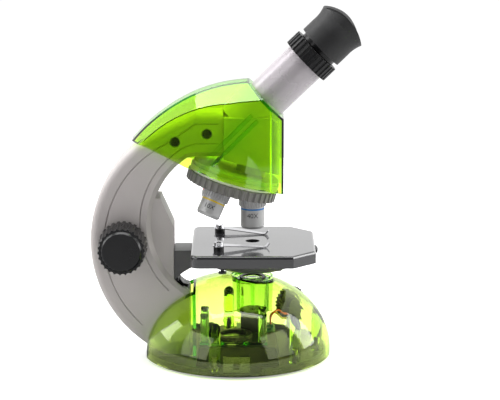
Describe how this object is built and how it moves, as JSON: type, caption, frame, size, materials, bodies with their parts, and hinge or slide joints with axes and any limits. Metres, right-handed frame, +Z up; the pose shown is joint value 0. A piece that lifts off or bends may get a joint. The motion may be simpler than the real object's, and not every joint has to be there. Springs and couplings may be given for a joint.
{
  "type": "kids microscope",
  "caption": "Upright toy microscope: C-shaped arm on a see-through domed base, square stage with spring clips, tilted nosepiece with objectives, see-through head cover and inclined eyepiece.",
  "frame": {"origin": "centre of the round base, on the surface it stands on", "axes": "+Z up; +X towards the eyepiece side, where the user sits; +Y to the far side, so Y = 0 cuts the microscope into halves"},
  "size_m": [0.1786, 0.1254, 0.235],
  "materials": {
    "arm_grey": "satin warm grey moulding",
    "lime_clear": "see-through lime, polished",
    "black_plastic": "satin black moulding",
    "black_gloss": "glossy black moulding",
    "stage_dark": "glossy dark grey moulding",
    "bracket_grey": "satin dark grey moulding",
    "head_grey": "satin light grey moulding",
    "tube_lilac": "satin lilac-grey paint",
    "turret_grey": "satin mid grey moulding",
    "objective_silver": "satin silver paint",
    "lens_glass": "polished",
    "mirror_silver": "polished",
    "rubber_black": "matte",
    "steel_bright": "brushed",
    "steel_dark": "black oxide",
    "brass_contact": "plain",
    "nylon_white": "natural nylon",
    "battery_wrap": "printed film, plain",
    "board_green": "solder mask",
    "led_clear": "clear epoxy",
    "frame_lime": "see-through lime",
    "wire_red_pvc": "PVC",
    "wire_yellow_pvc": "PVC",
    "filter_colours": "coloured films"
  },
  "bodies": {
    "base": {"base_dome": "lime_clear", "base_plate": "black_plastic", "battery_door": "black_plastic", "battery_box": "black_plastic", "batteries": "battery_wrap", "battery_contacts": "brass_contact", "rubber_feet": "rubber_black", "base_screws": "steel_dark", "illuminator_tube": "frame_lime", "condenser_ring": "black_gloss", "condenser_lens": "lens_glass", "lamp_frame": "frame_lime", "reflector_ring": "black_plastic", "led_holder": "black_plastic", "led_board": "board_green", "led": "led_clear", "dimmer_body": "black_plastic", "wire_red": "wire_red_pvc", "wire_yellow": "wire_yellow_pvc", "arm_shell_left": "arm_grey", "arm_shell_right": "arm_grey", "arm_screws": "steel_dark", "guide_rods": "steel_bright", "focus_bushes": "nylon_white", "switch_housing": "black_plastic", "head_block": "head_grey", "head_mirror": "mirror_silver", "nosepiece_seat": "head_grey", "detent_ball": "steel_bright", "turret_axle": "steel_bright", "head_cover": "lime_clear", "eyepiece_tube": "tube_lilac"},
    "stage": {"stage_carriage": "nylon_white", "stage_bracket": "bracket_grey", "stage_plate": "stage_dark", "stage_screws": "steel_dark", "clip_posts": "black_plastic"},
    "focus": {"focus_shaft": "steel_bright", "pinion": "nylon_white", "focus_knob_left": "black_gloss", "focus_knob_right": "black_gloss"},
    "clip_l": {"clip_left": "steel_bright"},
    "clip_r": {"clip_right": "steel_bright"},
    "filters": {"filter_wheel": "black_plastic", "colour_filters": "filter_colours"},
    "turret": {"turret_disc": "turret_grey", "objective_4x": "objective_silver", "objective_10x": "objective_silver", "objective_40x": "objective_silver", "objective_4x_lens": "lens_glass", "objective_10x_lens": "lens_glass", "objective_40x_lens": "lens_glass"},
    "eyepiece": {"eyepiece_barrel": "black_plastic", "eyepiece_neck": "black_gloss", "eye_lens": "lens_glass", "field_lens": "lens_glass"},
    "zoom": {"zoom_ring": "black_plastic"},
    "cup": {"eyecup": "rubber_black"},
    "dimmer": {"dimmer_wheel": "black_plastic"},
    "switch": {"rocker": "black_gloss"}
  },
  "joints": [
    {"name": "stage_focus", "type": "slide", "parent": "base", "child": "stage", "axis": [0, 0, 1], "range_m": [-0.003, 0.005]},
    {"name": "focus_turn", "type": "hinge", "parent": "base", "child": "focus", "pos_m": [-0.075, 0, 0.0793], "axis": [0, 1, 0], "range_deg": [-60, 37]},
    {"name": "clip_left_swing", "type": "hinge", "parent": "stage", "child": "clip_l", "pos_m": [-0.0117, -0.0264, 0.0807], "axis": [0, 0, 1], "range_deg": [-40, 20]},
    {"name": "clip_right_swing", "type": "hinge", "parent": "stage", "child": "clip_r", "pos_m": [-0.0117, 0.0264, 0.0807], "axis": [0, 0, 1], "range_deg": [-20, 40]},
    {"name": "filter_wheel_turn", "type": "hinge", "parent": "stage", "child": "filters", "pos_m": [0.028, 0, 0.0723], "axis": [0, 0, 1], "continuous": true},
    {"name": "turret_turn", "type": "hinge", "parent": "base", "child": "turret", "pos_m": [-0.00328, 0, 0.11744], "axis": [-0.2756, 0, -0.9613], "continuous": true},
    {"name": "eyepiece_slide", "type": "slide", "parent": "base", "child": "eyepiece", "axis": [0.7193, 0, 0.6947], "range_m": [0, 0.03]},
    {"name": "zoom_turn", "type": "hinge", "parent": "eyepiece", "child": "zoom", "pos_m": [0.04899, 0, 0.20266], "axis": [0.7193, 0, 0.6947], "range_deg": [0, 90]},
    {"name": "eyecup_turn", "type": "hinge", "parent": "eyepiece", "child": "cup", "pos_m": [0.06085, 0, 0.21413], "axis": [0.7193, 0, 0.6947], "range_deg": [-90, 90]},
    {"name": "dimmer_turn", "type": "hinge", "parent": "base", "child": "dimmer", "pos_m": [0.03641, 0.02844, 0.028], "axis": [0.6157, -0.788, 0], "range_deg": [-135, 135]},
    {"name": "switch_rock", "type": "hinge", "parent": "base", "child": "switch", "pos_m": [-0.03735, 0, 0.0474], "axis": [0, 1, 0], "range_deg": [0, 12]}
  ],
  "couplings": [
    {"joint": "focus_turn", "follows": "stage_focus", "rad_per_m": -204.08}
  ]
}
